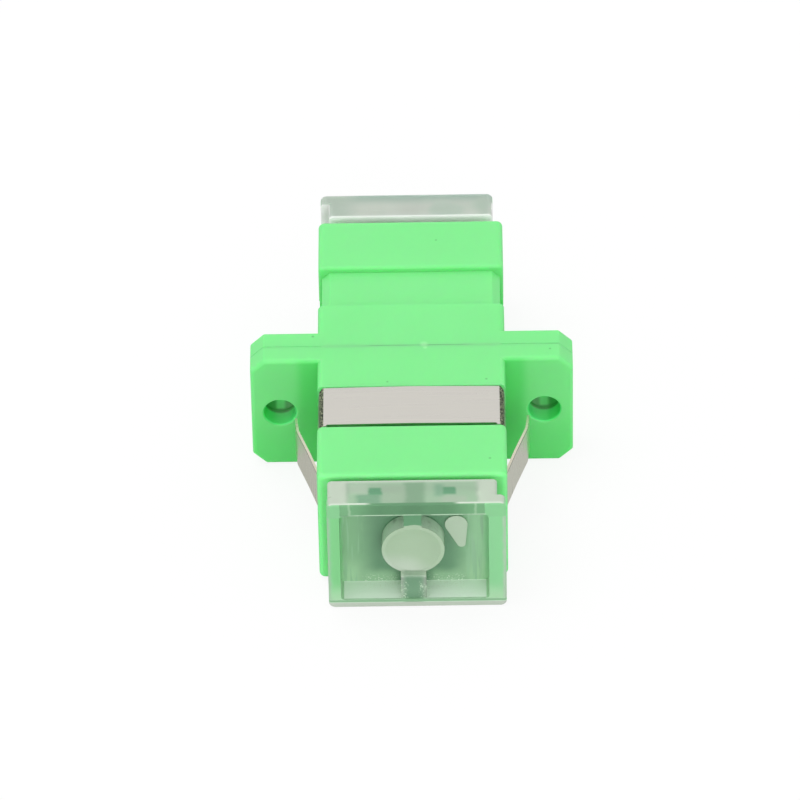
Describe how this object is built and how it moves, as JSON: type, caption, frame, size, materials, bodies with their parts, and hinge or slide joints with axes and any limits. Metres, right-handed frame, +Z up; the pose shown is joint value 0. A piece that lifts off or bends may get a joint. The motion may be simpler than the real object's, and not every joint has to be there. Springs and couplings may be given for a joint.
{
  "type": "sc fibre adapter",
  "caption": "Flanged coupler for two square push-pull fibre plugs, with a split ceramic sleeve, a sprung panel clip and clear dust caps.",
  "frame": {"origin": "on the fibre's axis, at the flange's panel-side face, midway between its two holes", "axes": "+X across the flange from one hole to the other, +Y along the fibre away from the mounting clip, +Z up through the clip's web"},
  "size_m": [0.022, 0.0322, 0.0094],
  "materials": {
    "green_plastic": "moulded, fine satin",
    "insert_plastic": "moulded, satin",
    "zirconia": "ground smooth",
    "spring_steel": "rolled sheet, fine grain",
    "clear_plastic": "clear soft plastic, slightly milky"
  },
  "bodies": {
    "adapter": {"housing_front": "green_plastic", "housing_rear": "green_plastic", "latch_insert_front": "insert_plastic", "latch_insert_rear": "insert_plastic", "split_sleeve": "zirconia", "mounting_clip": "spring_steel"},
    "front_cap": {"dust_cap_front": "clear_plastic"},
    "rear_cap": {"dust_cap_rear": "clear_plastic"}
  },
  "joints": [
    {"name": "front_cap_pull", "type": "slide", "parent": "adapter", "child": "front_cap", "axis": [0, -1, 0], "range_m": [-0.00045, 0.009]},
    {"name": "rear_cap_pull", "type": "slide", "parent": "adapter", "child": "rear_cap", "axis": [0, 1, 0], "range_m": [-0.00045, 0.009]}
  ]
}
